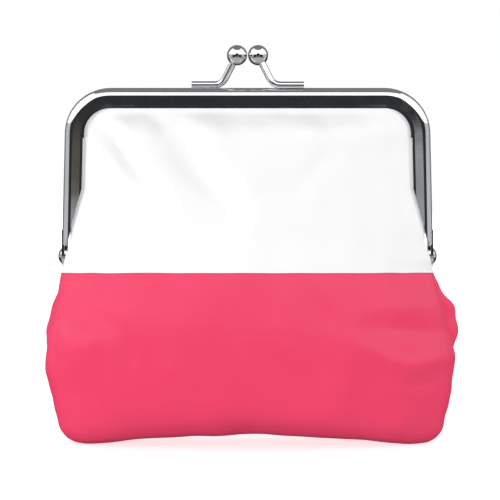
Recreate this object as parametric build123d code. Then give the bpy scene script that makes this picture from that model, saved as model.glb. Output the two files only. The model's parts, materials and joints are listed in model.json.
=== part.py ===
"""Kiss-lock coin purse: a soft two-panel pouch crimped into a hinged metal frame with a ball clasp.

Millimetres, +Z up. The origin is on the surface the purse stands on, under the middle of the pouch.
+X runs along the frame, and the front faces -Y. The frame halves turn about a shared X axis through
two rivets. The front half of each sheet is drawn and the back half is its mirror image.
"""

from build123d import *
import math
import os

os.makedirs("parts", exist_ok=True)

# ---- Driving dimensions: metal frame ----
FRAME_WIDTH = 106.0        # over the two arms at the hinge, where they stand widest apart
ARM_FLARE = 1.35           # each arm leans in by this much from the hinge up to the frame's top
FRAME_TOP = 101.5          # top of the closed frame above the resting surface
HINGE_Z = 53.5             # height of the rivets' axis
CORNER_R = 13.0            # outer radius of the frame's two top corners
CHANNEL_DEPTH = 5.9        # how far the channel reaches in from the outer edge, along the top
ARM_DEPTH = 5.3            # the same on the arms, where the flanges are cut back
ARM_STEP_Z = 87.5          # the arms' flanges are cut back from here down
CHANNEL_THICK = 4.4        # one frame half, front to back
SHEET = 0.6                # thickness of the frame's sheet metal
HALF_GAP = 0.15            # each frame half stands this far off the middle plane
FACE_EDGE_R = 2.2          # centreline radius of the rounded outer edge, on the show side
INNER_EDGE_R = 0.7         # centreline radius of the edge on the mating side
LIP_ROLL = 0.05            # how far the show flange's lip curls in to grip the sheets
ARM_END = 57.0             # the channel stops here, and a flat ear goes on to the rivet
TAPER_TOP = 73.0           # the flanges narrow from here down to the ear

# ---- Driving dimensions: hinge ----
EAR_R = 3.0
EAR_THICK = 0.7
EAR_GAP = 0.1
EAR_NECK_TOP = 61.0
RIVET_SHANK_R = 0.95
RIVET_HOLE_R = 1.0
RIVET_HEAD_R = 2.3
RIVET_HEAD_THICK = 1.1
RIVET_TAIL_R = 1.6
RIVET_TAIL_THICK = 0.5
RIVET_END_PLAY = 0.08      # between the ears and the rivet's head and tail

# ---- Driving dimensions: ball clasp ----
BALL_R = 2.9
BALL_SPACING = 6.0         # between the ball centres along X, so they pass with 0.2 mm to spare
BALL_Z = 110.8
BALL_LEAN = 0.3            # each ball stands this far past the middle plane when shut
STEM_R = 1.0
STEM_ANGLE = 63.0          # slope of the stem above the frame's top
STEM_BEND_R = 3.2
FOOT_END_X = 16.0
STEM_SOCKET = 1.4          # the stem goes in to this distance from the ball's centre
STEM_FLAT = 0.12           # depth of the flat that the foot is brazed on

# ---- Driving dimensions: sheets, cord and thread ----
LEATHER = 1.0
LINING = 0.4
PLY_GAP = 0.05             # between the leather and its lining
SEAM_GAP = 0.25            # each lower panel stops this far from the middle plane
THREAD_R = 0.2
CORD_R = 0.68              # twisted paper cord that packs the channel
CORD_INSET = 3.0           # from the frame's outer edge to the cord's centre
SHEET_EDGE_INSET = 2.4     # from the frame's outer edge to the sheets' edge inside the channel
SHEET_EXIT_INSET = 5.8     # the sheets leave the channel this far in from the outer edge
TRIM_ALLOWANCE = 1.0       # the sheets are drawn this much wider, then trimmed to the frame's outline
PANEL_CHANNEL_Y = 3.72     # the leather's outer face inside the channel, from the middle plane

# Lower pouch: height, half width and half depth of each level, from the floor up.
POUCH_LEVELS = [
    (0.0, 47.5, 12.5),
    (1.2, 50.8, 14.4),
    (4.5, 54.2, 16.8),
    (12.0, 57.2, 19.0),
    (22.0, 58.6, 20.0),
    (32.0, 58.2, 19.4),
    (42.0, 55.8, 17.3),
    (51.0, 53.6, 14.6),
]
POUCH_TOP = 49.6           # the lower panels end here, just under the hinge
POUCH_FULLNESS = 2.8       # exponent of the lower levels' rounded outline
ARCH_HALF_SPAN = 36.0      # the floor arches up between two flats, one near each end
ARCH_RISE = 2.9

# Upper panel: height and half depth of each level, from its foot at the hinge up to the channel.
PANEL_LEVELS = [
    (50.0, 13.1),
    (53.5, 13.1),
    (60.0, 11.6),
    (70.0, 9.0),
    (80.0, 6.8),
    (90.0, 4.9),
    (94.9, 3.85),
    (99.1, 3.8),
]
PANEL_FOOT_Z = 51.0        # the upper panels end here, above the lower ones
PANEL_FOOT_X = 46.5        # half the width of their foot, which clears the ears and rivets
PANEL_SHOULDER_Z = 57.5    # the foot is this narrow up to here

ARM_X = FRAME_WIDTH / 2
WEB_MID = SHEET / 2
BACK_BALL = Vector(-BALL_SPACING / 2, -BALL_LEAN, BALL_Z)


# ---- Helpers ----
def block(x0, x1, y0, y1, z0, z1):
    """An axis-aligned box between two corners."""
    size = Box(x1 - x0, y1 - y0, z1 - z0)
    return Pos((x0 + x1) / 2, (y0 + y1) / 2, (z0 + z1) / 2) * size


def x_disc(x0, x1, radius, y=0.0, z=HINGE_Z):
    """A round bar along X."""
    middle = Pos((x0 + x1) / 2, y, z)
    return middle * Rot(0, 90, 0) * Cylinder(radius, abs(x1 - x0))


def back_of(shape):
    """The same shape on the back half."""
    return mirror(shape, Plane.XZ)


def turned(shape):
    """The same shape turned half a turn about Z, as the clasp's front piece is to its back one."""
    return Rot(0, 0, 180) * shape


def other_side(shape):
    """The same shape at the other end of the frame."""
    return mirror(shape, Plane.YZ)


def arm_x(z):
    """Half the frame's outer width at this height."""
    return ARM_X - ARM_FLARE * (z - HINGE_Z) / (FRAME_TOP - HINGE_Z)


def frame_corners(inset, start_z):
    """Corners of the frame's outline moved in by inset, as (x, z): up the left arm and down the right."""
    low_x = arm_x(start_z) - inset
    top = FRAME_TOP - inset
    top_x = arm_x(top) - inset
    return [(-low_x, start_z), (-top_x, top), (top_x, top), (low_x, start_z)]


def frame_path(inset, start_z):
    """The frame's rounded outline, moved in by inset, from the foot of the left arm to the right one's."""
    corners = [(x, 0, z) for x, z in frame_corners(inset, start_z)]
    return FilletPolyline(*corners, radius=CORNER_R - inset)


def frame_window(inset, floor_z):
    """Everything inside the frame's outline moved in by inset, as a thick plate to trim sheets with."""
    outline = Polyline(*frame_corners(inset, floor_z), close=True)
    plate = extrude(Plane.XZ * make_face(outline), 60, both=True)
    corners = plate.edges().filter_by(Axis.Y).group_by(Axis.Z)[-1]
    return fillet(corners, CORNER_R - inset)


# ---- Metal frame ----
def channel_profile():
    """Centreline of the channel's section: mating flange, web and show flange with its curled lip.

    Local X points into the purse, and local Y is the row's Y."""
    mating = -(HALF_GAP + SHEET / 2)
    show = -(HALF_GAP + CHANNEL_THICK - SHEET / 2)
    lip_start = CHANNEL_DEPTH - 1.3
    on_web = (WEB_MID, mating - INNER_EDGE_R - 0.1)
    mating_edge = FilletPolyline(
        (CHANNEL_DEPTH - 0.2, mating), (WEB_MID, mating), on_web, radius=INNER_EDGE_R
    )
    show_edge = FilletPolyline(on_web, (WEB_MID, show), (lip_start, show), radius=FACE_EDGE_R)
    lip = Line((lip_start, show), (CHANNEL_DEPTH - 0.25, show + LIP_ROLL))
    return Curve() + [mating_edge, show_edge, lip]


def flange_cut(side):
    """What is cut from both flanges of one arm: a step below the corner, then a taper to the hinge."""
    inside_x = ARM_X - CHANNEL_DEPTH - 2.0
    below = ARM_END - 1.0
    corners = [
        (inside_x, ARM_STEP_Z),
        (arm_x(ARM_STEP_Z) - ARM_DEPTH, ARM_STEP_Z),
        (arm_x(TAPER_TOP) - ARM_DEPTH, TAPER_TOP),
        (ARM_X - SHEET - 0.3, below),
        (inside_x, below),
    ]
    outline = Polyline(*[(side * x, z) for x, z in corners], close=True)
    return extrude(Plane.XZ * make_face(outline), 20, both=True)


def channel():
    """The front half's bent channel, before its ears are added."""
    path = frame_path(0.0, ARM_END)
    start = Plane(origin=path @ 0, x_dir=(1, 0, 0), z_dir=path % 0)
    section = start * trace(channel_profile(), line_width=SHEET)
    body = sweep(section.face(), path=path)
    for side in (-1, 1):
        body -= flange_cut(side)
    return body


def ear(x_inner, y_sign):
    """A flat ear at the +X end: a disc on the hinge axis and a neck up to one half's web."""
    x_outer = x_inner + EAR_THICK
    near = y_sign * HALF_GAP
    far = y_sign * (HALF_GAP + CHANNEL_THICK - FACE_EDGE_R)
    neck_outline = Polyline(
        (near, EAR_NECK_TOP), (far, EAR_NECK_TOP), (y_sign * EAR_R, HINGE_Z), (near, HINGE_Z), close=True
    )
    ear_plane = Plane(origin=(x_inner, 0, 0), x_dir=(0, 1, 0), z_dir=(1, 0, 0))
    neck = extrude(ear_plane * make_face(neck_outline), EAR_THICK)
    disc = x_disc(x_inner, x_outer, EAR_R)
    hole = x_disc(x_inner - 1, x_outer + 1, RIVET_HOLE_R)
    return disc + neck - hole


def front_frame():
    """Front half: its ears lie in the web's own plane, outside the back half's ears."""
    right_ear = ear(ARM_X - EAR_THICK, -1)
    return channel() + right_ear + other_side(right_ear)


def back_frame():
    """Back half: its ears are joggled inwards by one thickness."""
    inner_x = ARM_X - 2 * EAR_THICK - EAR_GAP
    neck_y = HALF_GAP + CHANNEL_THICK - FACE_EDGE_R
    web_x = arm_x(EAR_NECK_TOP) - 0.1
    joggle = block(inner_x, web_x, HALF_GAP, neck_y, EAR_NECK_TOP - 1.2, EAR_NECK_TOP + 1.0)
    right_ear = ear(inner_x, 1) + joggle
    below_joggle = block(ARM_X - EAR_THICK - 0.2, ARM_X + 1, 0, 10, 40, EAR_NECK_TOP - 1.2)
    half = back_of(channel()) - below_joggle - other_side(below_joggle)
    return half + right_ear + other_side(right_ear)


def hinge_rivet():
    """The rivet at the +X end: domed head outside, shank through both ears, upset tail inside."""
    tail_x = ARM_X - 2 * EAR_THICK - EAR_GAP - RIVET_END_PLAY
    head_x = ARM_X + RIVET_END_PLAY
    tail_end = tail_x - RIVET_TAIL_THICK
    rim = (head_x, RIVET_HEAD_R)
    crown = (head_x + RIVET_HEAD_THICK, 0)
    dome_r = (RIVET_HEAD_R**2 + RIVET_HEAD_THICK**2) / (2 * RIVET_HEAD_THICK)
    corners = [
        crown,
        (tail_end, 0),
        (tail_end, RIVET_TAIL_R),
        (tail_x, RIVET_TAIL_R),
        (tail_x, RIVET_SHANK_R),
        (head_x, RIVET_SHANK_R),
        rim,
    ]
    outline = Curve() + [Polyline(*corners), RadiusArc(rim, crown, dome_r)]
    half_section = Plane(origin=(0, 0, HINGE_Z), x_dir=(1, 0, 0), z_dir=(0, -1, 0)) * make_face(outline)
    return revolve(half_section, Axis((0, 0, HINGE_Z), (1, 0, 0)))


# ---- Ball clasp ----
def clasp_stem():
    """The back half's bent round wire: a flat-bottomed foot on its top, then a slope up to the ball."""
    foot_z = FRAME_TOP + STEM_R - STEM_FLAT
    run = (BALL_Z - foot_z) / math.tan(math.radians(STEM_ANGLE))
    bend = Vector(BACK_BALL.X - run, HALF_GAP + CHANNEL_THICK / 2, foot_z)
    foot_end = Vector(-FOOT_END_X, bend.Y, foot_z)
    tip = BACK_BALL + (bend - BACK_BALL).normalized() * STEM_SOCKET
    path = FilletPolyline(foot_end, bend, tip, radius=STEM_BEND_R)
    start = Plane(origin=foot_end, z_dir=(1, 0, 0))
    wire = sweep((start * Circle(STEM_R)).face(), path=path)
    return wire - block(-30, 30, -10, 10, FRAME_TOP - 5, FRAME_TOP)


def clasp_ball(stem):
    """The back half's ball, with a blind socket that its stem fills."""
    return Pos(*BACK_BALL) * Sphere(BALL_R) - stem


# ---- Lower pouch panels ----
def pouch_outline(half_width, half_depth, z):
    """Half of one level, filled to the seam gap: a rounded front and a straight back."""
    steps = 12
    points = []
    for i in range(steps + 1):
        angle = math.pi * i / steps
        c, s = math.cos(angle), math.sin(angle)
        x = half_width * math.copysign(abs(c) ** (2 / POUCH_FULLNESS), c)
        points.append((x, -SEAM_GAP - (half_depth - SEAM_GAP) * abs(s) ** (2 / 2.2)))
    front = Spline(*points)
    closing = Line(points[-1], points[0])
    return Plane.XY.offset(z) * make_face(Curve() + [front, closing])


def pouch_core(inset):
    """The front half of the lower pouch as a filled solid, every wall moved in by inset."""
    levels = []
    for z, half_width, half_depth in POUCH_LEVELS:
        levels.append(pouch_outline(half_width - inset, half_depth - inset, z))
    body = loft(levels)
    arch_r = (ARCH_HALF_SPAN**2 + ARCH_RISE**2) / (2 * ARCH_RISE)
    arch_centre = Pos(0, 0, ARCH_RISE - arch_r)
    arch = arch_centre * Rot(90, 0, 0) * Cylinder(arch_r + inset, 80)
    body -= arch
    return body & block(-80, 80, -60, 0, inset, POUCH_TOP)


def lower_ply(outer_inset, thickness):
    """One front sheet of the lower pouch, from its outer inset inwards."""
    return pouch_core(outer_inset) - pouch_core(outer_inset + thickness)


# ---- Upper panels ----
def panel_level(z, half_depth, face_y, thickness, extra):
    """One level of an upper sheet: flat strips in the channel and a bow between them."""
    edge_x = arm_x(z) - SHEET_EDGE_INSET + TRIM_ALLOWANCE
    exit_x = arm_x(z) - SHEET_EXIT_INSET
    bow = max(half_depth - extra, face_y + 0.08)
    outer = [(-edge_x, -face_y), (-exit_x, -face_y), (0, -bow), (exit_x, -face_y), (edge_x, -face_y)]
    inner = [(x, y + thickness) for x, y in outer]
    edges = [
        Line(outer[0], outer[1]),
        ThreePointArc(outer[1], outer[2], outer[3]),
        Line(outer[3], outer[4]),
        Line(outer[4], inner[4]),
        Line(inner[4], inner[3]),
        ThreePointArc(inner[3], inner[2], inner[1]),
        Line(inner[1], inner[0]),
        Line(inner[0], outer[0]),
    ]
    return Plane.XY.offset(z) * make_face(Curve() + edges)


def upper_ply(extra, thickness):
    """One front sheet above the hinge, from its narrower foot up into the channel."""
    face_y = PANEL_CHANNEL_Y - extra
    levels = [panel_level(z, depth, face_y, thickness, extra) for z, depth in PANEL_LEVELS]
    body = loft(levels, ruled=False) & frame_window(SHEET_EDGE_INSET, PANEL_FOOT_Z)
    for side in (-1, 1):
        x0, x1 = sorted((side * PANEL_FOOT_X, side * 70))
        body -= block(x0, x1, -30, 0, 30, PANEL_SHOULDER_Z)
    return body


# ---- Cord and thread ----
def paper_cord():
    """Front half's paper cord, run up one arm, over the top and down the other inside the channel."""
    start_z = EAR_NECK_TOP + 2.0
    y = -(HALF_GAP + SHEET + 0.1 + CORD_R)
    path = Pos(0, y, 0) * frame_path(CORD_INSET, start_z)
    start = Plane(origin=path @ 0, z_dir=path % 0)
    return sweep((start * Circle(CORD_R)).face(), path=path)


def seam_thread(inset):
    """Thread along the side and bottom seams, in the gap between the front and back panels.

    It follows the seam at this depth inside the pouch's outline, and rises with the arched floor."""
    right_half = [
        (ARCH_HALF_SPAN, inset, 60.0),
        (51.0 - 0.6 * inset, inset, 7.0),
        (57.9 - inset, 26.0, 45.0),
    ]
    apex = (0.0, ARCH_RISE + 0.7 + inset, 210.0)
    left_half = [(-x, z, radius) for x, z, radius in reversed(right_half)]
    corners = left_half + [apex] + right_half
    top_x = 53.8 - inset
    points = [(-top_x, 0, POUCH_TOP)] + [(x, 0, z) for x, z, _ in corners] + [(top_x, 0, POUCH_TOP)]
    path = FilletPolyline(*points, radius=[radius for _, _, radius in corners])
    start = Plane(origin=path @ 0, z_dir=path % 0)
    return sweep((start * Circle(THREAD_R)).face(), path=path)


# ---- Assembly: one STEP per piece ----
stem = clasp_stem()
ball = clasp_ball(stem)
leather_lower = lower_ply(0.0, LEATHER)
lining_lower = lower_ply(LEATHER + PLY_GAP, LINING)
leather_upper = upper_ply(0.0, LEATHER)
lining_upper = upper_ply(LEATHER + PLY_GAP, LINING)
cord = paper_cord()
rivet = hinge_rivet()

parts = {
    "front_frame": front_frame(),
    "back_frame": back_frame(),
    "right_hinge_rivet": rivet,
    "left_hinge_rivet": other_side(rivet),
    "front_clasp_stem": turned(stem),
    "back_clasp_stem": stem,
    "front_clasp_ball": turned(ball),
    "back_clasp_ball": ball,
    "front_leather_upper": leather_upper,
    "back_leather_upper": back_of(leather_upper),
    "front_leather_lower": leather_lower,
    "back_leather_lower": back_of(leather_lower),
    "front_lining_upper": lining_upper,
    "back_lining_upper": back_of(lining_upper),
    "front_lining_lower": lining_lower,
    "back_lining_lower": back_of(lining_lower),
    "front_paper_cord": cord,
    "back_paper_cord": back_of(cord),
    "leather_seam_thread": seam_thread(LEATHER / 2),
    "lining_seam_thread": seam_thread(LEATHER + PLY_GAP + LINING / 2),
}

for name, shape in parts.items():
    export_step(shape, f"parts/{name}.step")
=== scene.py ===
"""Looks of the kiss-lock coin purse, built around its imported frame.

Metres, +Z up, and the front faces -Y, as in the frame. The shapes of the sheets are worked out in
millimetres and scaled when their meshes are made.
"""

import json
import math

import bpy
import numpy as np
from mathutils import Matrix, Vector


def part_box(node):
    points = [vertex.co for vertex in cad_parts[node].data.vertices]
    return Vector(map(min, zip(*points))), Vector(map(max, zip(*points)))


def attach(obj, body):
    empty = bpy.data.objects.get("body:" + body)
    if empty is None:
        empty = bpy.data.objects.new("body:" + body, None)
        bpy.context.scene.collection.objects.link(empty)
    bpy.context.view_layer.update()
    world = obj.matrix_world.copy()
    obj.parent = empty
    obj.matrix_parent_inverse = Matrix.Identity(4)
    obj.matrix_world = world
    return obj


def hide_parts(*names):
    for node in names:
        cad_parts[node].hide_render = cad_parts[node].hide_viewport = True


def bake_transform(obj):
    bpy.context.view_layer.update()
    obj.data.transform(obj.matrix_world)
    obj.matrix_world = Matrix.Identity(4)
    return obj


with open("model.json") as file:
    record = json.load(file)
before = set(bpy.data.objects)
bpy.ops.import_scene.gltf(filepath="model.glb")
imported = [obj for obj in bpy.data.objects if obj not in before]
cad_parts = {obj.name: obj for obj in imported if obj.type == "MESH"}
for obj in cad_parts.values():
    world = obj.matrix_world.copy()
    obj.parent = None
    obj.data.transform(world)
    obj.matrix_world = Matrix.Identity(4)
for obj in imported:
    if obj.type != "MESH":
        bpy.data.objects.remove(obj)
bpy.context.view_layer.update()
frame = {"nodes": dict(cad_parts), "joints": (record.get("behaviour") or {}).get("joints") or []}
nodes = frame["nodes"]

MM = 0.001
SEED = 7

# ---- Driving dimensions in millimetres, from the frame ----
FRAME_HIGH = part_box("front_frame")[1] / MM
POUCH_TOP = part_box("front_leather_lower")[1].z / MM
HINGE_Z = frame["joints"][0]["pos_m"][2] / MM
FRAME_TOP = FRAME_HIGH.z
HALF_FRAME = FRAME_HIGH.x      # half the frame's width, at the hinge

# ---- The frame's channel and how the sheets and cords lie in it ----
ARM_FLARE = 1.35               # each arm leans in by this much from the hinge up to the frame's top
CORNER_R = 13.0
CHANNEL_DEPTH = 5.9
EDGE_INSET = 2.4               # from the frame's outer edge to the sheets' edge
TAPER_TOP = 73.0               # below this the arms' flanges narrow towards the hinge
TAPER_SLOPE = 0.284
EXIT_INSET = 5.6               # the sheets leave the channel this far in, above the taper
CRIMP_Y = 3.72                 # the leather's outer face in the channel, from the middle plane
LEATHER = 1.0
LINING = 0.4
PLY_GAP = 0.08
CORD_INSET = 3.0
CORD_Y = 1.53
CORD_R = 0.66
CORD_START_Z = 63.0
TWISTS_PER_MM = 1 / 3.2

# ---- The pouch's shape: rows from the top down, through the floor and in to the bottom seam ----
# Height, and how far the middle of the panel stands out from the middle plane.
PROFILE = [
    (99.1, 3.72),
    (96.2, 3.7),
    (95.1, 3.7),
    (93.0, 5.1),
    (90.6, 6.8),
    (88.2, 7.9),
    (84.5, 8.8),
    (78.0, 9.7),
    (70.0, 10.9),
    (61.0, 12.3),
    (54.0, 13.8),
    (48.6, 15.1),
    (42.0, 17.0),
    (34.0, 18.9),
    (25.0, 19.9),
    (16.0, 19.7),
    (9.0, 18.3),
    (4.2, 15.9),
    (1.3, 12.8),
    (0.1, 9.0),
    (0.2, 4.4),
    (0.9, 1.3),
    (2.0, 0.0),
]
# The next three tables are read by height, and past the profile's lowest row by minus the way run from it.
# Height, then the seam's distance from the middle on the left and on the right.
SEAM = [
    (-10.0, 41.5, 42.5),
    (-5.0, 44.8, 46.3),
    (0.0, 48.8, 51.0),
    (1.0, 50.3, 52.5),
    (3.0, 51.4, 53.7),
    (7.0, 52.3, 54.4),
    (13.0, 54.0, 55.9),
    (21.0, 55.4, 56.4),
    (28.0, 55.2, 56.2),
    (36.0, 54.3, 54.6),
    (43.0, 53.6, 53.8),
    (49.0, 53.1, 53.0),
    (53.5, 51.9, 51.9),
    (57.5, 50.4, 50.4),
]
# Height, then how far the panel bulges past the seam on the left and on the right.
FRONT_BULGE = [
    (-10.0, 0.0, 0.0),
    (0.0, 1.2, 1.6),
    (3.0, 2.6, 2.6),
    (13.0, 2.7, 2.8),
    (21.0, 2.9, 3.2),
    (28.0, 2.4, 3.4),
    (36.0, 2.6, 3.0),
    (43.0, 1.7, 1.9),
    (49.0, 1.0, 0.9),
    (54.0, 0.0, 0.0),
]
BACK_BULGE = [
    (-10.0, 0.0, 0.0),
    (0.0, 1.2, 1.2),
    (3.0, 2.2, 2.2),
    (13.0, 2.4, 2.2),
    (21.0, 2.6, 2.5),
    (28.0, 3.1, 4.4),
    (34.0, 3.9, 6.5),
    (39.0, 3.6, 6.9),
    (43.0, 1.8, 3.8),
    (49.0, 0.8, 0.8),
    (54.0, 0.0, 0.0),
]
LEFT = 1                       # the columns of the three tables
RIGHT = 2
SEAM_CREASE = 1.7              # how fast the bulge tucks in to the seam
TUCK_POWER = 6                 # how close to the panel's edge the tuck keeps
ARCH_HALF_SPAN = 46.0
ARCH_RISE = 2.9
ARCH_FADE = 9.0                # the floor's arch is down to about a third at this height
SPLIT_Z = 48.7                 # the print changes from white to coral here
SPLIT_LINE = 0.35              # width of the darker line along the print's edge
SPLIT_REACH = 12.0             # how far from the print's edge the rows rise to keep it level in view
MIDDLE_GAP = 0.03              # each panel stops this far from the middle plane
REST_Z = 0.02                  # the lowest that the leather's skin lies
VIEW_ELEVATION = 4.5           # degrees that the camera looks down

# ---- Heights between which the panel's level sections change ----
INTO_CHANNEL = (54.0, 57.5)    # the edge leaves the seam's line for the channel's
EDGE_OPENS = (49.2, 53.0)      # the edge comes away from the middle plane
EDGE_SPREADS = (48.0, 84.0)    # the edge's own distance from that plane reaches further in
EVEN_COLUMNS = (47.0, 58.0)
SQUARE_BELLY = (30.0, 50.0)
ROUND_BELLY = (34.0, 50.0)
BELLY_TO_BOW = (42.0, 86.0)
FULL_UNDER_BAR = (82.0, 92.0)

# ---- The panel's level sections: each is (1 - free**A)**B, with free 0 in the middle and 1 at the edge ----
BOW_A = 2.0
BOW_A_ADDED = 2.5              # right under the bar, where the section is squarer
BOW_B = 1.1
BELLY_A = 2.2
BELLY_A_ADDED = 0.6            # low down
BELLY_B = 0.62
BELLY_B_OFF = 0.17             # low down
EDGE_HOLD = 2.0                # low down, the edge's distance from the middle plane stays near the edge
EVEN_SHARE = 0.35              # how evenly the columns lie above the hinge

COLUMNS = 141
ROWS_ABOVE = 58
ROWS_BELOW = 88

# ---- Folds: start x and z, end x and z, half width, height (a valley is negative) ----
FRONT_FOLDS = [
    (-41.5, 90.0, -24.5, 70.5, 2.8, -2.5),
    (-36.5, 91.0, -20.0, 69.0, 3.2, 1.6),
    (-31.0, 90.0, -17.0, 71.5, 4.4, 1.5),
    (-22.0, 90.0, -5.0, 69.5, 4.8, -2.7),
    (-14.0, 89.5, 4.0, 71.0, 4.4, 0.8),
    (-4.0, 70.0, 12.0, 71.5, 3.4, -0.5),
    (14.0, 73.0, 23.0, 83.0, 3.2, -0.7),
    (35.5, 35.6, 57.0, 31.8, 3.2, -1.5),
    (39.0, 41.6, 54.0, 39.5, 3.0, 0.6),
    (30.0, 31.5, 38.5, 25.6, 2.5, 1.0),
    (38.0, 25.6, 46.5, 23.4, 2.5, 1.0),
    (46.0, 23.4, 57.0, 25.4, 2.5, 1.2),
    (33.5, 23.4, 45.5, 17.8, 2.6, -0.6),
    (45.5, 17.8, 55.0, 19.4, 2.6, -0.6),
    (-57.0, 35.5, -46.0, 38.0, 3.0, -0.6),
    (-46.0, 38.0, -34.0, 34.0, 3.0, -0.5),
    (-54.0, 28.5, -40.0, 28.5, 6.4, 2.5),
    (-34.0, 33.0, -32.0, 23.0, 3.0, -0.8),
    (-54.0, 17.0, -42.0, 15.5, 3.6, -0.5),
    (-50.0, 10.0, -40.0, 4.0, 3.0, 0.35),
    (48.0, 11.0, 40.0, 4.0, 3.0, 0.35),
]
BACK_FOLDS = [
    (38.0, 90.0, 20.0, 68.0, 2.8, -0.8),
    (28.0, 91.0, 4.0, 70.0, 3.8, -0.7),
    (-34.0, 90.0, -20.0, 72.0, 3.2, -0.6),
    (-44.0, 93.6, 44.0, 93.8, 1.7, -0.5),
    (36.0, 42.0, 58.0, 36.0, 3.2, -1.2),
    (38.0, 34.0, 60.0, 31.0, 3.4, 1.2),
    (36.0, 26.5, 57.0, 22.0, 3.0, -0.8),
    (-57.0, 38.0, -38.0, 34.0, 3.0, -0.9),
    (-57.0, 31.0, -36.0, 27.0, 3.4, 1.0),
    (-55.0, 21.0, -38.0, 17.0, 3.0, -0.6),
    (-16.0, 44.0, 12.0, 41.0, 4.0, -0.4),
]
FOLD_END = 0.12                # a fold starts and ends at the height that a sine has this far into its arch

# ---- Puckers: height of the waves, distance between them and how much they slant ----
SEAM_PUCKERS = (0.16, 8.0, 0.25)
BAR_PUCKERS = (0.08, 7.0, 0.3)
ARM_PUCKERS = (0.14, 8.0, 0.4)
HINGE_PUCKERS = (0.22, 11.0, 0.0)
UNEVENNESS = [(0.22, 34.0), (0.1, 17.0)]
UNEVEN_SLANT_X = 0.6
UNEVEN_SLANT_Z = 0.4
WAVES_IN_RIPPLE = 4
WAVE_SPREAD = (0.6, 1.6)       # shortest and longest wave, as shares of the distance between waves

# ---- Where the puckers lie: a centre with a width, or the two ends of a soft start or stop ----
SEAM_WIDTH = 5.0
SEAM_STARTS = (3.0, 8.0)
SEAM_STOPS = (44.0, 50.0)
SEAM_SHARE = (0.8, 0.95)       # of the panel's half width
BAR_WIDTH = 7.0
BAR_STOPS = (93.5, 96.0)
ARM_BAND = (47.0, 5.0)
ARM_STARTS = (55.0, 60.0)
ARM_STOPS = (84.0, 90.0)
HINGE_BAND = (46.5, 5.0)
HINGE_SHARE = (0.35, 0.9)      # of the panel's half width

# ---- Folds and puckers die out towards the seam, the bar and the arms ----
OFF_SEAM = (0.0, 2.4)
OFF_BAR = (92.0, 95.4)
OFF_ARMS = (44.0, 47.2)

# ---- Seam stitches ----
STITCH = 2.0
STITCH_GAP = 0.6
STITCH_STEP = 0.2              # distance between the rings of a stitch
STITCH_END = 0.08              # how far a stitch narrows, as the square of its width's share
SEAM_DROP = 0.6                # the seam starts this far below the lower panel's top
SEAM_CENTRE = np.array([0.0, 0.0, 30.0])    # the seams' lines are moved in towards this point
THREAD_R = 0.2
LINE_STEP = 0.5                # distance between the points of the frame's line


# ---- Curves and steps ----
def curve(points, at, column=1):
    """A smooth curve through the points' first number and the one in this column, read at these places."""
    table = np.array(points, float)
    place, value = table[:, 0], table[:, column]
    slope = np.gradient(value, place)
    i = np.clip(np.searchsorted(place, at) - 1, 0, len(place) - 2)
    step = place[i + 1] - place[i]
    t = np.clip((at - place[i]) / step, 0, 1)
    return (
        (2 * t**3 - 3 * t**2 + 1) * value[i]
        + (t**3 - 2 * t**2 + t) * step * slope[i]
        + (3 * t**2 - 2 * t**3) * value[i + 1]
        + (t**3 - t**2) * step * slope[i + 1]
    )


def ease(at, low, high):
    """0 below low, 1 above high and smooth between them."""
    t = np.clip((at - low) / (high - low), 0, 1)
    return t * t * (3 - 2 * t)


def fade(at, low, high):
    """1 below low, 0 above high and smooth between them."""
    return 1 - ease(at, low, high)


def bell(at, centre, width):
    """1 at the centre, falling to about a third at one width from it."""
    return np.exp(-(((at - centre) / width) ** 2))


# ---- The plain leather panels ----
def profile_rows():
    """Height, depth and table key of every row. One row is on the print's edge and the next under it."""
    points = np.array(PROFILE)
    run = np.concatenate([[0], np.cumsum(np.hypot(*np.diff(points, axis=0).T))])
    lowest = int(np.argmin(points[:, 0]))
    heights = np.column_stack([run, points[:, 0]])
    depths = np.column_stack([run, points[:, 1]])
    split_run = float(np.interp(-SPLIT_Z, -points[:lowest, 0], run[:lowest]))
    above = np.linspace(0, split_run, ROWS_ABOVE)
    below = np.linspace(split_run + SPLIT_LINE, run[-1], ROWS_BELOW)
    at = np.concatenate([above, below])
    z = curve(heights, at)
    key = np.where(at < run[lowest], z, run[lowest] - at)
    return z, curve(depths, at), key


def arm_x(z):
    """The frame's half width at this height, leaving out its corners."""
    return HALF_FRAME - ARM_FLARE * (z - HINGE_Z) / (FRAME_TOP - HINGE_Z)


def crimp_half_width(z):
    """Half width of the sheets' edge inside the channel at this height."""
    radius = CORNER_R - EDGE_INSET
    above = np.clip(z - (FRAME_TOP - CORNER_R), 0, radius)
    return arm_x(z) - EDGE_INSET - radius + np.sqrt(radius**2 - above**2)


def side_widths(z, key, bulge, side):
    """The seam's and the panel's half widths of every row on one side."""
    in_channel = ease(z, *INTO_CHANNEL)
    seam = curve(SEAM, key, side) * (1 - in_channel) + crimp_half_width(z) * in_channel
    return seam, seam + np.clip(curve(bulge, key, side), 0, None)


def half_widths(z, key, bulge, t):
    """The seam's and the panel's half widths at every point of the grid."""
    on_left = side_widths(z, key, bulge, LEFT)
    on_right = side_widths(z, key, bulge, RIGHT)
    return [np.where(t < 0, left[:, None], right[:, None]) for left, right in zip(on_left, on_right)]


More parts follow.
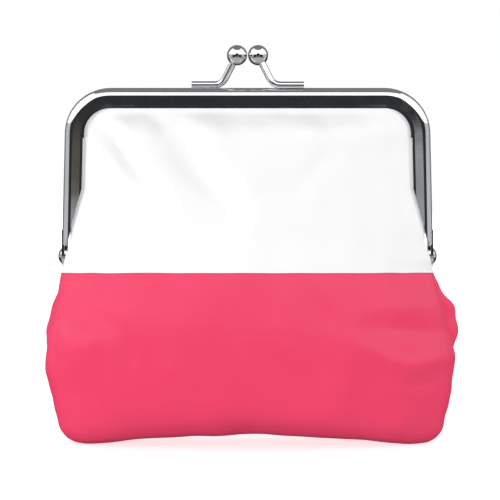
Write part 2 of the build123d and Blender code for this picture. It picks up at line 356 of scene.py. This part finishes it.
def panel_depth(level, depth, t, wide):
    """How far the panel stands out from the middle plane at every point, and at each row's edge."""
    # The free part ends where the panel goes into the channel, or at its edge where there is no channel.
    exit_inset = EXIT_INSET - TAPER_SLOPE * np.clip(TAPER_TOP - level, 0, None)
    free = np.clip(np.abs(t) / (1 - np.clip(exit_inset - EDGE_INSET, 0, None) / wide), 0, 1)
    # Above the hinge it bows out, and below it each level is a rounded rectangle that ends at the seam.
    bow = (1 - free ** (BOW_A + BOW_A_ADDED * ease(level, *FULL_UNDER_BAR))) ** BOW_B
    belly_a = BELLY_A + BELLY_A_ADDED * fade(level, *SQUARE_BELLY)
    belly_b = BELLY_B - BELLY_B_OFF * fade(level, *ROUND_BELLY)
    belly = (1 - free**belly_a) ** belly_b
    upper = ease(level, *BELLY_TO_BOW)
    shape = upper * bow + (1 - upper) * belly
    edge_y = CRIMP_Y * ease(level, *EDGE_OPENS)
    edge_power = 1 + EDGE_HOLD * fade(level, *EDGE_SPREADS)
    return depth[:, None] * shape + edge_y * (1 - shape) ** edge_power, edge_y


def panel_grid(bulge):
    """The plain panel as a grid of points, rows by columns, for the front. Folds come later."""
    z_row, depth, key = profile_rows()
    level = z_row[:, None]
    u = np.linspace(-1, 1, COLUMNS)
    even = EVEN_SHARE * ease(level, *EVEN_COLUMNS)
    t = (1 - even) * np.sin(u * math.pi / 2) + even * u
    seam, wide = half_widths(z_row, key, bulge, t)
    y, edge_y = panel_depth(level, depth, t, wide)

    tuck = (wide - seam) * np.exp(-np.abs(y - edge_y) / SEAM_CREASE)
    x = wide * t - np.sign(t) * tuck * np.abs(t) ** TUCK_POWER
    z = np.repeat(level, COLUMNS, axis=1)
    z += ARCH_RISE * np.clip(1 - (x / ARCH_HALF_SPAN) ** 2, 0, None) * bell(z, 0, ARCH_FADE)
    z += math.tan(math.radians(VIEW_ELEVATION)) * y * bell(z, SPLIT_Z, SPLIT_REACH)
    return np.stack([x, -y, z], axis=-1)


def normals(grid):
    """Outward unit normals of a panel's grid."""
    across = np.gradient(grid, axis=1)
    down = np.gradient(grid, axis=0)
    out = np.cross(down, across)
    out /= np.maximum(np.linalg.norm(out, axis=-1, keepdims=True), 1e-9)
    return out


# ---- Folds and puckers ----
def fold_heights(x, z, folds):
    """How far the folds raise or lower the panel at each point."""
    total = np.zeros_like(x)
    for x0, z0, x1, z1, width, height in folds:
        along = np.array([x1 - x0, z1 - z0])
        share = ((x - x0) * along[0] + (z - z0) * along[1]) / (along @ along)
        held = np.clip(share, 0, 1)
        away = np.hypot(x - x0 - held * along[0], z - z0 - held * along[1])
        swell = np.sin(math.pi * (FOLD_END + (1 - 2 * FOLD_END) * held))
        total += height * swell * bell(away, 0, width)
    return total


def ripple(at, rng, wave):
    """A sum of sines with random phases and wavelengths near wave, about 1 high."""
    total = np.zeros_like(at)
    for _ in range(WAVES_IN_RIPPLE):
        length = wave * rng.uniform(*WAVE_SPREAD)
        total += np.sin(2 * math.pi * (at / length + rng.uniform()))
    return total / math.sqrt(WAVES_IN_RIPPLE)


def pucker_heights(x, y, z, rng):
    """The waves at the seam, under the bar, beside the arms and under the hinges, and a soft unevenness."""
    from_middle = np.abs(x)
    from_seam = np.abs(y)
    reach = from_middle / from_middle.max(axis=1, keepdims=True)
    seam = np.exp(-from_seam / SEAM_WIDTH) * fade(z, *SEAM_STOPS)
    seam = seam * ease(z, *SEAM_STARTS) * ease(reach, *SEAM_SHARE)
    bar = bell(z, FRAME_TOP - CHANNEL_DEPTH, BAR_WIDTH) * fade(z, *BAR_STOPS)
    arm = bell(from_middle, *ARM_BAND) * ease(z, *ARM_STARTS) * fade(z, *ARM_STOPS)
    hinge = bell(z, *HINGE_BAND) * ease(reach, *HINGE_SHARE)
    total = np.zeros_like(x)
    for (height, wave, slant), where, along, across in (
        (SEAM_PUCKERS, seam, z, from_seam),
        (BAR_PUCKERS, bar, x, z),
        (ARM_PUCKERS, arm, z, from_middle),
        (HINGE_PUCKERS, hinge, x, z),
    ):
        total += height * where * ripple(along + slant * across, rng, wave)
    for height, wave in UNEVENNESS:
        crossways = ripple(x + UNEVEN_SLANT_X * z, rng, wave)
        total += height * crossways * ripple(z - UNEVEN_SLANT_Z * x, rng, wave)
    return total


def kept_clear(grid, lowest):
    """The grid kept on its own side of the middle plane and off the floor."""
    grid[..., 1] = np.minimum(grid[..., 1], -MIDDLE_GAP)
    grid[..., 2] = np.maximum(grid[..., 2], lowest)
    return grid


def wrinkled(grid, folds, seed):
    """The panel with its folds and puckers, which die out at the seam and in the channel."""
    rng = np.random.default_rng(seed)
    x, y, z = np.moveaxis(grid, -1, 0)
    height = fold_heights(x, z, folds) + pucker_heights(x, y, z, rng)
    off_seam_and_bar = ease(np.abs(y), *OFF_SEAM) * fade(z, *OFF_BAR)
    off_arms = np.maximum(fade(np.abs(x), *OFF_ARMS), fade(z, *INTO_CHANNEL))
    height *= off_seam_and_bar * off_arms
    return kept_clear(grid + normals(grid) * height[..., None], REST_Z)


def inside(grid, depth):
    """The panel's surface moved inwards by depth, and kept half that much off the floor."""
    return kept_clear(grid - normals(grid) * depth, REST_Z + depth * 0.5)


# ---- Meshes and objects ----
def new_mesh(name, verts, faces, materials):
    """A smooth-shaded mesh from points in metres."""
    mesh = bpy.data.meshes.new(name)
    mesh.from_pydata(verts.tolist(), [], faces)
    mesh.shade_smooth()
    for material in materials:
        mesh.materials.append(material)
    return mesh


def new_object(name, data):
    """An object with this data, in the scene."""
    obj = bpy.data.objects.new(name, data)
    bpy.context.scene.collection.objects.link(obj)
    return obj


def grid_faces(rows, columns):
    """The corners' numbers of every face of a grid."""
    index = np.arange(rows * columns).reshape(rows, columns)
    corners = [index[:-1, :-1], index[1:, :-1], index[1:, 1:], index[:-1, 1:]]
    return np.stack(corners, axis=-1).reshape(-1, 4)


def grid_border(rows, columns):
    """The points' numbers once round a grid."""
    index = np.arange(rows * columns).reshape(rows, columns)
    return np.concatenate([index[:-1, 0], index[-1, :-1], index[:0:-1, -1], index[0, :0:-1]])


def print_slots(rows, columns, low_rim):
    """Each face's place in the list of print materials: white 0, coral 1 and the line between them 2."""
    side = np.zeros((rows - 1, columns - 1), np.int32)
    side[ROWS_ABOVE:] = 1
    side[ROWS_ABOVE - 1] = 2
    return np.concatenate([side.ravel(), side.ravel(), low_rim.astype(np.int32)])


def sheet(name, outer, inner, sign, materials):
    """A closed sheet between two grids. Sign is 1 for the front, and -1 mirrors it to the back."""
    rows, columns = outer.shape[:2]
    count = rows * columns
    side = grid_faces(rows, columns)
    border = grid_border(rows, columns)
    after = np.roll(border, -1)
    rim = np.stack([border, border + count, after + count, after], axis=-1)
    faces = np.concatenate([side, side[:, ::-1] + count, rim])[:, ::sign]
    verts = np.concatenate([outer.reshape(-1, 3), inner.reshape(-1, 3)]) * [MM, sign * MM, MM]
    mesh = new_mesh(name, verts, faces.tolist(), materials)
    if len(materials) > 1:
        slots = print_slots(rows, columns, verts[border, 2] < SPLIT_Z * MM)
        mesh.polygons.foreach_set("material_index", slots)
    return new_object(name, mesh)


def remember_place(obj):
    """Stores each point's place at rest, which the materials read for their grain."""
    mesh = obj.data
    place = mesh.attributes.new("rest_place", "FLOAT_VECTOR", "POINT")
    co = np.zeros(len(mesh.vertices) * 3, np.float32)
    mesh.vertices.foreach_get("co", co)
    place.data.foreach_set("vector", co)


def sheet_pieces(leather_materials, lining_materials):
    """The four sheets of the purse, each crossing the hinge in one piece."""
    for side, sign, bulge, folds, seed in (
        ("front", 1, FRONT_BULGE, FRONT_FOLDS, SEED),
        ("back", -1, BACK_BULGE, BACK_FOLDS, SEED + 1),
    ):
        skin = wrinkled(panel_grid(bulge), folds, seed)
        ply = LEATHER + PLY_GAP
        for kind, outer, inner, materials, slot in (
            ("leather", skin, inside(skin, LEATHER), leather_materials, "leather_coral"),
            ("lining", inside(skin, ply), inside(skin, ply + LINING), lining_materials, "lining"),
        ):
            obj = sheet(f"{side}_{kind}", outer, inner, sign, materials)
            remember_place(obj)
            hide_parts(f"{side}_{kind}_upper", f"{side}_{kind}_lower")
            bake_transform(obj)


# ---- Materials: noise, cell and wave scales are per metre, and bump distances are in metres ----
class Nodes:
    """A material under construction, with short ways to add and join its nodes."""

    def __init__(self, name):
        self.material = bpy.data.materials.new(name)
        self.material.use_nodes = True
        self.tree = self.material.node_tree
        self.shader = self.tree.nodes["Principled BSDF"]

    def add(self, kind, inputs=None, **settings):
        """A node with these settings, and these values on its sockets."""
        node = self.tree.nodes.new(kind)
        for key, value in settings.items():
            setattr(node, key, value)
        for key, value in (inputs or {}).items():
            node.inputs[key].default_value = value
        return node

    def join(self, output, target):
        self.tree.links.new(output, target)

    def drive(self, name, output):
        """Joins an output to one of the shader's sockets."""
        self.join(output, self.shader.inputs[name])

    def socket(self, name, value):
        self.shader.inputs[name].default_value = value

    def rest_place(self):
        """Where on the piece, as stored at rest."""
        return self.add("ShaderNodeAttribute", attribute_name="rest_place").outputs["Vector"]

    def object_place(self):
        return self.add("ShaderNodeTexCoord").outputs["Object"]

    def noise(self, place, scale, detail=3.0, roughness=0.5):
        inputs = {"Scale": scale, "Detail": detail, "Roughness": roughness}
        node = self.add("ShaderNodeTexNoise", inputs)
        self.join(place, node.inputs["Vector"])
        return node.outputs["Fac"]

    def cells(self, place, scale):
        """The distance to the nearest edge between cells."""
        node = self.add("ShaderNodeTexVoronoi", {"Scale": scale}, feature="DISTANCE_TO_EDGE")
        self.join(place, node.inputs["Vector"])
        return node.outputs["Distance"]

    def bands(self, place, direction, scale, distortion=0.0):
        inputs = {"Scale": scale, "Distortion": distortion}
        node = self.add("ShaderNodeTexWave", inputs, bands_direction=direction)
        self.join(place, node.inputs["Vector"])
        return node.outputs["Fac"]

    def product(self, a, b):
        node = self.add("ShaderNodeMath", operation="MULTIPLY")
        self.join(a, node.inputs[0])
        self.join(b, node.inputs[1])
        return node.outputs["Value"]

    def span(self, value, low, high, from_low, from_high):
        """The value's range from_low to from_high, stretched to low to high."""
        inputs = {"From Min": from_low, "From Max": from_high, "To Min": low, "To Max": high}
        node = self.add("ShaderNodeMapRange", inputs)
        self.join(value, node.inputs["Value"])
        return node.outputs["Result"]

    def blend(self, share, a, b):
        """A colour between a and b."""
        node = self.add("ShaderNodeMix", {"A": (*a, 1), "B": (*b, 1)}, data_type="RGBA")
        self.join(share, node.inputs["Factor"])
        return node.outputs["Result"]

    def bump(self, height, distance, strength, below=None):
        node = self.add("ShaderNodeBump", {"Strength": strength, "Distance": distance})
        self.join(height, node.inputs["Height"])
        if below is not None:
            self.join(below, node.inputs["Normal"])
        return node.outputs["Normal"]


def leather(name, light, dark, roughness):
    """Smooth printed leather: a fine pebbled grain, soft creases and slightly uneven colour and gloss."""
    m = Nodes(name)
    place = m.rest_place()
    tone = m.span(m.noise(place, scale=38.0, detail=4.0), 0.0, 1.0, 0.3, 0.7)
    gloss = m.noise(place, scale=120.0)
    m.drive("Base Color", m.blend(tone, dark, light))
    m.drive("Roughness", m.span(gloss, roughness - 0.05, roughness + 0.07, 0.3, 0.7))
    m.socket("Specular IOR Level", 0.45)
    m.socket("Coat Weight", 0.06)
    m.socket("Coat Roughness", 0.25)
    soft_creases = m.noise(place, scale=420.0, detail=5.0, roughness=0.6)
    creases = m.bump(soft_creases, distance=0.00025, strength=0.25)
    pebbles = m.cells(place, scale=1500.0)
    m.drive("Normal", m.bump(pebbles, distance=0.00012, strength=0.28, below=creases))
    return m.material


def chrome(name, colour, roughness=0.07):
    """Bright plating: mirror-like, with faint waves, smudges and cloudy colour."""
    m = Nodes(name)
    place = m.object_place()
    cloud = m.span(m.noise(place, scale=160.0, detail=4.0), 0.0, 1.0, 0.35, 0.65)
    dark = tuple(c * 0.93 for c in colour)
    m.drive("Base Color", m.blend(cloud, dark, colour))
    m.socket("Metallic", 1.0)
    smudges = m.noise(place, scale=260.0)
    m.drive("Roughness", m.span(smudges, roughness - 0.02, roughness + 0.03, 0.3, 0.7))
    waves = m.noise(place, scale=90.0, detail=1.0)
    m.drive("Normal", m.bump(waves, distance=0.0004, strength=0.05))
    return m.material


def satin_lining(name):
    """Dark woven lining with a faint sheen."""
    m = Nodes(name)
    place = m.rest_place()
    weave = m.product(*(m.bands(place, direction, 900.0, distortion=0.6) for direction in ("X", "Z")))
    m.drive("Base Color", m.blend(weave, (0.012, 0.012, 0.014), (0.035, 0.035, 0.04)))
    m.drive("Roughness", m.span(m.noise(place, scale=200.0), 0.42, 0.58, 0.3, 0.7))
    m.socket("Sheen Weight", 0.25)
    m.drive("Normal", m.bump(weave, distance=0.0001, strength=0.5))
    return m.material


def kraft_paper(name):
    """Twisted brown paper with visible fibres."""
    m = Nodes(name)
    fibres = m.noise(m.object_place(), scale=1500.0, detail=5.0, roughness=0.7)
    tone = m.span(fibres, 0.0, 1.0, 0.3, 0.7)
    m.drive("Base Color", m.blend(tone, (0.34, 0.24, 0.14), (0.52, 0.40, 0.26)))
    m.socket("Roughness", 0.85)
    m.drive("Normal", m.bump(fibres, distance=0.0001, strength=0.5))
    return m.material


def twisted_thread(name, colour):
    """Twisted polyester thread."""
    m = Nodes(name)
    twist = m.bands(m.object_place(), "DIAGONAL", 1200.0)
    dark = tuple(c * 0.7 for c in colour)
    m.drive("Base Color", m.blend(twist, dark, colour))
    m.socket("Roughness", 0.55)
    m.drive("Normal", m.bump(twist, distance=0.00005, strength=0.6))
    return m.material


PRINT = [
    leather("leather_white", (0.885, 0.885, 0.89), (0.872, 0.872, 0.877), 0.40),
    leather("leather_coral", (0.81, 0.045, 0.128), (0.78, 0.040, 0.118), 0.42),
    leather("leather_edge", (0.60, 0.045, 0.11), (0.55, 0.04, 0.10), 0.45),
]
lining_cloth = satin_lining("lining_cloth")
paper = kraft_paper("kraft_paper")
thread = twisted_thread("coral_thread", (0.55, 0.05, 0.11))
dark_thread = twisted_thread("dark_thread", (0.03, 0.03, 0.035))
frame_chrome = chrome("frame_chrome", (0.80, 0.80, 0.815))
# The clasp's chrome is a darker copy of the frame's, as painted shade: the same plating is made to read
# darker on the clasp's stems and balls.
shaded_clasp_chrome = chrome("shaded_clasp_chrome", (0.74, 0.74, 0.75), 0.05)
rivet_chrome = chrome("rivet_chrome", (0.76, 0.76, 0.775), 0.09)


# ---- Metal parts keep their shape and take a finish ----
def finish_node(name, material):
    """Gives a frame node its material. Its own normals shade it."""
    obj = nodes[name]
    obj.data.materials.clear()
    obj.data.materials.append(material)


for half in ("front", "back"):
    finish_node(f"{half}_frame", frame_chrome)
    finish_node(f"{half}_clasp_stem", shaded_clasp_chrome)
    finish_node(f"{half}_clasp_ball", shaded_clasp_chrome)
for end in ("left", "right"):
    finish_node(f"{end}_hinge_rivet", rivet_chrome)

sheet_pieces(PRINT, [lining_cloth])


# ---- Cords and stitches ----
def tube_rings(path, section, turns=0.0):
    """A closed tube with this section along the path, twisting by so many turns a millimetre."""
    count, around = len(path), section.shape[0]
    tangent = np.gradient(path, axis=0)
    tangent /= np.linalg.norm(tangent, axis=1, keepdims=True)
    side = np.cross(tangent, np.array([0.0, 1.0, 0.0]))
    side /= np.linalg.norm(side, axis=1, keepdims=True)
    up = np.cross(side, tangent)
    run = np.concatenate([[0], np.cumsum(np.linalg.norm(np.diff(path, axis=0), axis=1))])
    angle = 2 * math.pi * turns * run
    cos, sin = np.cos(angle)[:, None], np.sin(angle)[:, None]
    across = section[None, :, 0] * cos - section[None, :, 1] * sin
    along = section[None, :, 0] * sin + section[None, :, 1] * cos
    rings = path[:, None] + side[:, None] * across[..., None] + up[:, None] * along[..., None]
    i = np.arange(count - 1)[:, None] * around
    j = np.arange(around)[None]
    k = (j + 1) % around
    quads = np.stack([i + j, i + k, i + around + k, i + around + j], axis=-1).reshape(-1, 4)
    caps = [list(range(around))[::-1], list(range((count - 1) * around, count * around))]
    return rings.reshape(-1, 3), quads.tolist() + caps


def rigid_piece(name, verts, faces, material, body, replaced):
    """A finished piece that rides on a body and stands for a frame node."""
    obj = new_object(name, new_mesh(name, verts * MM, faces, [material]))
    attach(obj, body)
    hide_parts(replaced)


def frame_line(inset, y, start_z):
    """Points along the frame's outline moved in by inset, from one arm over the top to the other."""
    radius = CORNER_R - inset
    top = FRAME_TOP - inset
    bend_z = top - radius
    low_x = arm_x(start_z) - inset
    high_x = arm_x(bend_z) - inset
    share = np.linspace(0, 1, int((bend_z - start_z) / LINE_STEP))[:, None]
    arm = np.array([-low_x, start_z]) * (1 - share) + np.array([-high_x, bend_z]) * share
    turn = np.linspace(math.pi, math.pi / 2, int(radius * math.pi / 2 / LINE_STEP))[1:]
    corner = np.column_stack([radius - high_x + radius * np.cos(turn), bend_z + radius * np.sin(turn)])
    half_top = high_x - radius
    bar_x = np.linspace(-half_top, 0, int(half_top / LINE_STEP))[1:]
    bar = np.column_stack([bar_x, np.full_like(bar_x, top)])
    half = np.concatenate([arm, corner, bar])
    whole = np.concatenate([half, (half * [-1, 1])[-2::-1]])
    return np.column_stack([whole[:, 0], np.full(len(whole), y), whole[:, 1]])


def twisted_section(radius, around=20):
    """The outline of two round strands side by side, softened where they meet."""
    angle = np.linspace(0, 2 * math.pi, around, endpoint=False)
    reach = radius * (0.80 + 0.20 * np.abs(np.cos(angle)))
    return np.column_stack([reach * np.cos(angle), reach * np.sin(angle)])


for half, y in (("front", -CORD_Y), ("back", CORD_Y)):
    line = frame_line(CORD_INSET, y, CORD_START_Z)
    verts, faces = tube_rings(line, twisted_section(CORD_R), TWISTS_PER_MM)
    rigid_piece(
        f"{half}_twisted_cord", verts, faces, paper, f"{half}_half", f"{half}_paper_cord"
    )


def seam_line(inset):
    """The seam's own line: down one side, along the bottom and up the other, moved in by inset."""
    grid = panel_grid(FRONT_BULGE)
    first = int(np.argmin(np.abs(grid[:, 0, 2] - (POUCH_TOP - SEAM_DROP))))
    left, right, bottom = grid[first:, 0], grid[first:, -1], grid[-1]
    line = np.concatenate([left, bottom[1:-1], right[::-1]])
    towards = SEAM_CENTRE - line
    towards /= np.linalg.norm(towards, axis=1, keepdims=True)
    line = line + towards * inset
    line[:, 1] = 0
    return line


def resample(line, step):
    """Points along the line at even steps."""
    run = np.concatenate([[0], np.cumsum(np.linalg.norm(np.diff(line, axis=0), axis=1))])
    at = np.arange(0, run[-1], step)
    return np.column_stack([np.interp(at, run, line[:, i]) for i in range(3)])


def stitches(line, around=8):
    """A row of separate stitches along a line, each a short tube that narrows at both ends."""
    angle = np.linspace(0, 2 * math.pi, around, endpoint=False)
    ring = np.column_stack([np.cos(angle), np.sin(angle)]) * THREAD_R
    fine = resample(line, STITCH_STEP)
    per = int(STITCH / STITCH_STEP)
    pitch = int((STITCH + STITCH_GAP) / STITCH_STEP)
    all_verts, all_faces = [], []
    for start in range(0, len(fine) - per - 1, pitch):
        path = fine[start:start + per + 1]
        verts, faces = tube_rings(path, ring)
        share = np.repeat(np.linspace(-1, 1, len(path)), around)
        swell = np.sqrt(np.clip(1 - share**2, STITCH_END, 1))[:, None]
        centre = np.repeat(path, around, axis=0)
        offset = len(all_verts) * len(verts)
        all_verts.append(centre + (verts - centre) * swell)
        all_faces += [[i + offset for i in face] for face in faces]
    return np.concatenate(all_verts), all_faces


for name, inset, material, node in (
    ("leather_seam_stitches", 0.9, thread, "leather_seam_thread"),
    ("lining_seam_stitches", 1.9, dark_thread, "lining_seam_thread"),
):
    verts, faces = stitches(seam_line(inset))
    rigid_piece(name, verts, faces, material, "pouch", node)


# ---- Stage ----
def glow(name, colour, strength):
    """A card that shines evenly."""
    m = Nodes(name)
    m.socket("Base Color", (0, 0, 0, 1))
    m.socket("Specular IOR Level", 0.0)
    m.socket("Emission Color", (*colour, 1))
    m.socket("Emission Strength", strength)
    return m.material


def light_table(name):
    """A matt white table top that shines a little from below, so that it stays pale far away."""
    m = Nodes(name)
    m.socket("Base Color", (0.9, 0.9, 0.9, 1))
    m.socket("Roughness", 0.95)
    m.socket("Emission Color", (1, 1, 1, 1))
    m.socket("Emission Strength", 0.66)
    return m.material


def seen_only_by(obj, camera=False, glossy=False):
    """Hides a stage piece from every kind of ray but these."""
    obj.visible_camera = camera
    obj.visible_glossy = glossy
    obj.visible_diffuse = False
    obj.visible_shadow = False
    obj.visible_transmission = False
    obj.visible_volume_scatter = False


CARD_CENTRE = np.array([0, 0, 0.075])
ROOM_R = 0.62
CARD_R = 0.60
NEAR_CARD_R = 0.58
BACKDROP_R = 6.0
PATCH_STEP = 6                 # degrees between the points of a patch


def dome_patch(name, azimuths, elevations, radius, material):
    """A patch of a dome round the purse. Azimuth 0 is the front and 90 is +X; both are in degrees."""
    across = max(2, int((azimuths[1] - azimuths[0]) / PATCH_STEP) + 1)
    up = max(2, int((elevations[1] - elevations[0]) / PATCH_STEP) + 1)
    a = np.radians(np.linspace(*azimuths, across))[None]
    e = np.radians(np.linspace(*elevations, up))[:, None]
    directions = np.stack(np.broadcast_arrays(np.sin(a) * np.cos(e), -np.cos(a) * np.cos(e), np.sin(e)), -1)
    verts = (CARD_CENTRE + directions * radius).reshape(-1, 3)
    obj = new_object(name, new_mesh(name, verts, grid_faces(up, across).tolist(), [material]))
    return obj


# The colour and strength of each kind of card.
WHITE_CARD = ((1.0, 1.0, 1.0), 1.7)
PALE_CARD = ((0.94, 0.97, 1.0), 0.62)
GREY_CARD = ((0.95, 0.97, 1.0), 0.38)
CEILING = ((0.96, 0.98, 1.0), 0.24)
TABLE = ((0.97, 0.98, 1.0), 0.55)
WOOD = ((1.0, 0.9, 0.72), 0.11)
DARK_ROOM = ((0.9, 0.95, 1.0), 0.035)

# What the polished metal mirrors, as azimuths and elevations from the purse: a dark room, a table
# top, softboxes that start higher up in front than at the sides, pale walls and small cards.
MIRRORED = [
    ("room", (0, 360), (-90, 90), ROOM_R, DARK_ROOM),
    ("ceiling", (0, 360), (62, 90), CARD_R, CEILING),
    ("back_wall", (110, 250), (-10, 62), CARD_R, CEILING),
    ("softbox_ring", (-18, 18), (24, 62), CARD_R, WHITE_CARD),
    ("softbox_right", (18, 110), (12, 62), CARD_R, WHITE_CARD),
    ("softbox_left", (-110, -18), (12, 62), CARD_R, WHITE_CARD),
    ("pale_wall_right", (54, 110), (-14, 12), CARD_R, PALE_CARD),
    ("pale_wall_left", (-110, -54), (-14, 12), CARD_R, PALE_CARD),
    ("table_top", (-100, 100), (-72, -20), CARD_R, TABLE),
    ("grey_card_right", (7.2, 20), (-16, -0.6), NEAR_CARD_R, GREY_CARD),
    ("grey_card_left", (-20, -7.2), (-16, -3.9), NEAR_CARD_R, GREY_CARD),
    ("wood_card_left", (-20, -7.2), (-3.9, -0.6), NEAR_CARD_R, WOOD),
]
for name, azimuths, elevations, radius, (colour, strength) in MIRRORED:
    patch = dome_patch(name, azimuths, elevations, radius, glow(name, colour, strength))
    seen_only_by(patch, glossy=True)

backdrop = dome_patch("backdrop", (0, 360), (-90, 90), BACKDROP_R, glow("backdrop", (1, 1, 1), 1.0))
seen_only_by(backdrop, camera=True)

floor_corners = np.array([(-1, -1, 0), (1, -1, 0), (1, 1, 0), (-1, 1, 0)]) * BACKDROP_R
floor_mesh = new_mesh("floor", floor_corners, [(0, 1, 2, 3)], [light_table("floor_table")])
floor = new_object("floor", floor_mesh)
floor.visible_glossy = False
floor.visible_diffuse = False

# ---- Lights: place, size and power in watts. They aim at the pouch and aren't mirrored in the metal ----
LIGHT_AIM = Vector((0, 0, 0.05))
LIGHTS = [
    ("key_box", (-0.74, -0.42, 0.06), (0.34, 0.11), 4.9),
    ("front_box", (0.30, -0.86, 0.06), (0.5, 0.11), 1.75),
    ("right_box", (0.76, -0.44, 0.06), (0.34, 0.11), 2.9),
    ("back_box", (0.30, 0.85, 0.35), (0.6, 0.4), 4.0),
]
WORLD_STRENGTH = 0.42


def turn_to(obj, aim):
    """Turns a light or the camera towards a place."""
    obj.rotation_euler = (aim - obj.location).to_track_quat("-Z", "Y").to_euler()


for name, place, size, power in LIGHTS:
    light = bpy.data.lights.new(name, "AREA")
    light.shape = "RECTANGLE"
    light.size, light.size_y = size
    light.energy = power
    lamp = new_object(name, light)
    lamp.location = place
    lamp.visible_glossy = False
    turn_to(lamp, LIGHT_AIM)

world = bpy.data.worlds.new("studio")
world.use_nodes = True
world.node_tree.nodes["Background"].inputs["Color"].default_value = (1, 1, 1, 1)
world.node_tree.nodes["Background"].inputs["Strength"].default_value = WORLD_STRENGTH
bpy.context.scene.world = world
bpy.context.scene.view_settings.view_transform = "Standard"

# ---- Camera ----
DISTANCE = 0.80
MM_ACROSS = 143.05             # width of the view at the purse
AIM = Vector((0.69 * MM, 0, 55.2 * MM))
camera = bpy.data.cameras.new("camera")
camera.lens = camera.sensor_width * DISTANCE / (MM_ACROSS * MM)
camera.clip_start = 0.01
eye = new_object("camera", camera)
tilt = math.radians(VIEW_ELEVATION)
eye.location = AIM + Vector((0, -math.cos(tilt), math.sin(tilt))) * DISTANCE
turn_to(eye, AIM)
bpy.context.scene.camera = eye
